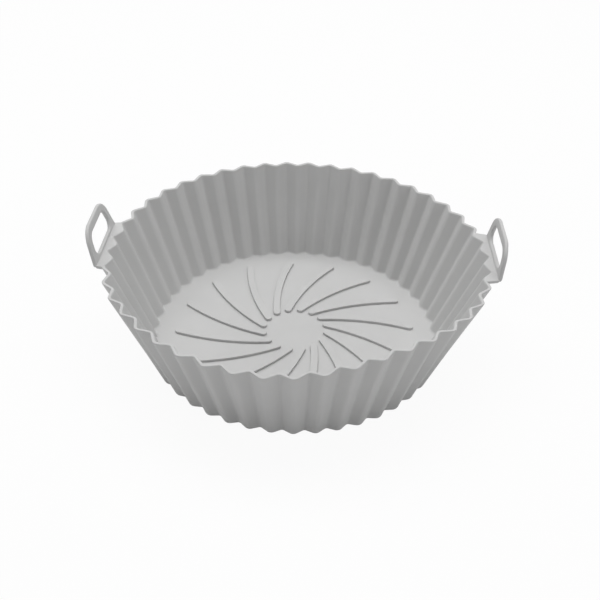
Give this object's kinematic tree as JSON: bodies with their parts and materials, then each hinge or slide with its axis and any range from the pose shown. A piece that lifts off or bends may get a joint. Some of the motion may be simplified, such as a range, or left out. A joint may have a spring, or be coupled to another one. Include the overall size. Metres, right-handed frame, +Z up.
{
  "type": "air fryer liner",
  "caption": "Round pleated silicone liner for an air fryer basket, with swirl ribs on its flat floor and a loop handle at each side of the rim.",
  "frame": {"origin": "middle of the underside, on the surface that the liner stands on", "axes": "+Z up, out of the open mouth; +X towards one of the two loop handles; +Y completes the right-handed frame"},
  "size_m": [0.2134, 0.1998, 0.0728],
  "materials": {
    "silicone": "matte"
  },
  "bodies": {
    "root": {"liner": "silicone"}
  },
  "joints": []
}
